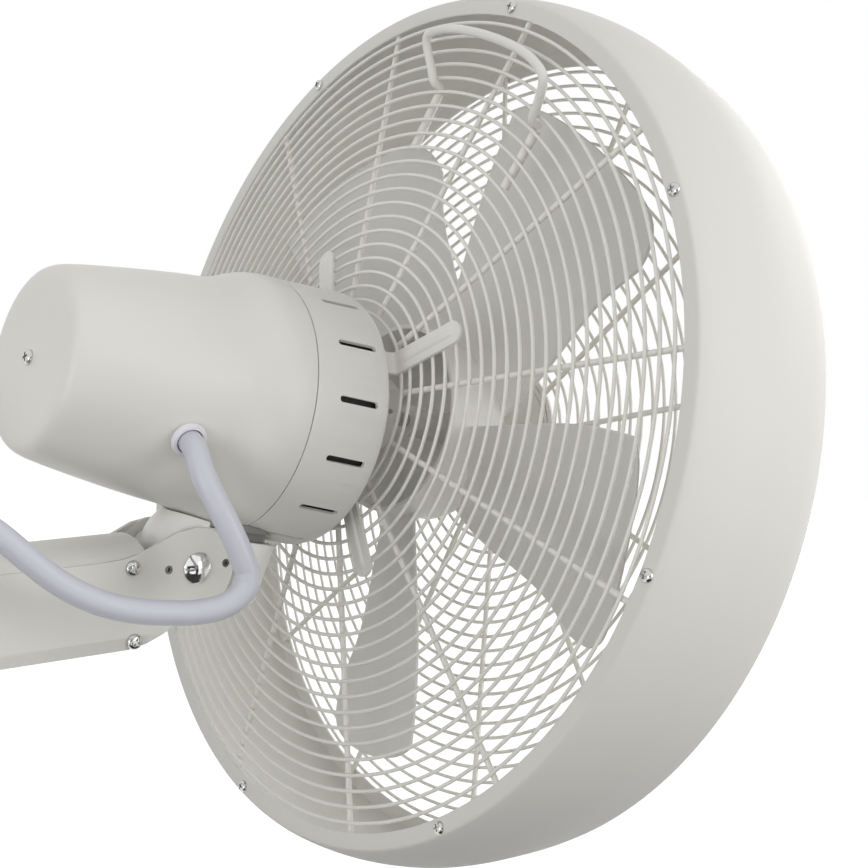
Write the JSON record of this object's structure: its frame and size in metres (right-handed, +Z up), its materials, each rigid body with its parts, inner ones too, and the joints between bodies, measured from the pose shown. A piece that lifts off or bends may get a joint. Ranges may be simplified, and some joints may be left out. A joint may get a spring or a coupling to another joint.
{
  "type": "wall fan",
  "caption": "Wall-mounted fan with a barrel shroud between wire guards, a tapered motor head on a tilting, swivelling knuckle, and a bracket arm with its supply lead.",
  "frame": {"origin": "centre of the back face of the wall plate, on the wall", "axes": "+Z up, the wall is the plane y = 0, the fan faces -Y and, as pictured, 12.8 degrees below level"},
  "size_m": [0.4948, 0.475, 0.4889],
  "materials": {
    "body_paint": "satin off-white powder coat",
    "wire_paint": "satin off-white powder coat on wire",
    "chrome": "polished",
    "steel": "bright zinc",
    "washer_plastic": "smooth",
    "disc_plastic": "smooth dark grey",
    "blade_plastic": "satin warm grey",
    "hub_plastic": "satin grey",
    "lead_sheath": "smooth white sheath",
    "white_plastic": "smooth",
    "copper_wire": "enamelled wire",
    "core_steel": "stacked laminations"
  },
  "bodies": {
    "arm": {"wall_plate": "body_paint", "arm_channel": "body_paint", "arm_cheek_left": "body_paint", "arm_cheek_right": "body_paint", "arm_hood": "body_paint", "arm_screws": "steel", "clamp_screws": "steel", "friction_washers": "washer_plastic", "pivot_bolt": "steel", "pivot_caps": "chrome", "lead_gland": "white_plastic", "lead_lower": "lead_sheath"},
    "knuckle": {"knuckle": "body_paint", "swivel_shaft": "steel", "swivel_nut": "steel"},
    "head": {"swivel_disc": "disc_plastic", "motor_casing": "body_paint", "rear_cover": "body_paint", "cover_screw": "steel", "cable_grommet": "white_plastic", "stator": "core_steel", "windings": "copper_wire", "front_shield": "body_paint", "rear_shield": "body_paint", "bearings": "steel", "capacitor": "white_plastic", "guard_clips": "wire_paint", "rear_guard_rings": "wire_paint", "rear_guard_ribs": "wire_paint", "handle": "wire_paint", "shroud": "body_paint", "flange_screws": "steel", "front_guard_rings": "wire_paint", "front_guard_ribs": "wire_paint", "centre_badge": "body_paint", "lead_upper": "lead_sheath"},
    "rotor": {"motor_shaft": "steel", "rotor_core": "core_steel", "hub": "hub_plastic", "blade_1": "blade_plastic", "blade_2": "blade_plastic", "blade_3": "blade_plastic", "blade_4": "blade_plastic", "blade_5": "blade_plastic", "hub_nut": "steel"}
  },
  "joints": [
    {"name": "tilt", "type": "hinge", "parent": "arm", "child": "knuckle", "pos_m": [0, -0.205, 0], "axis": [1, 0, 0], "range_deg": [-12.8, 15.2]},
    {"name": "swivel", "type": "hinge", "parent": "knuckle", "child": "head", "pos_m": [0, -0.23269, 0.01176], "axis": [0, -0.2215, 0.9751], "range_deg": [-45, 45]},
    {"name": "blade_spin", "type": "hinge", "parent": "head", "child": "rotor", "pos_m": [0, -0.33232, 0.07116], "axis": [0, -0.9751, -0.2215], "continuous": true}
  ]
}
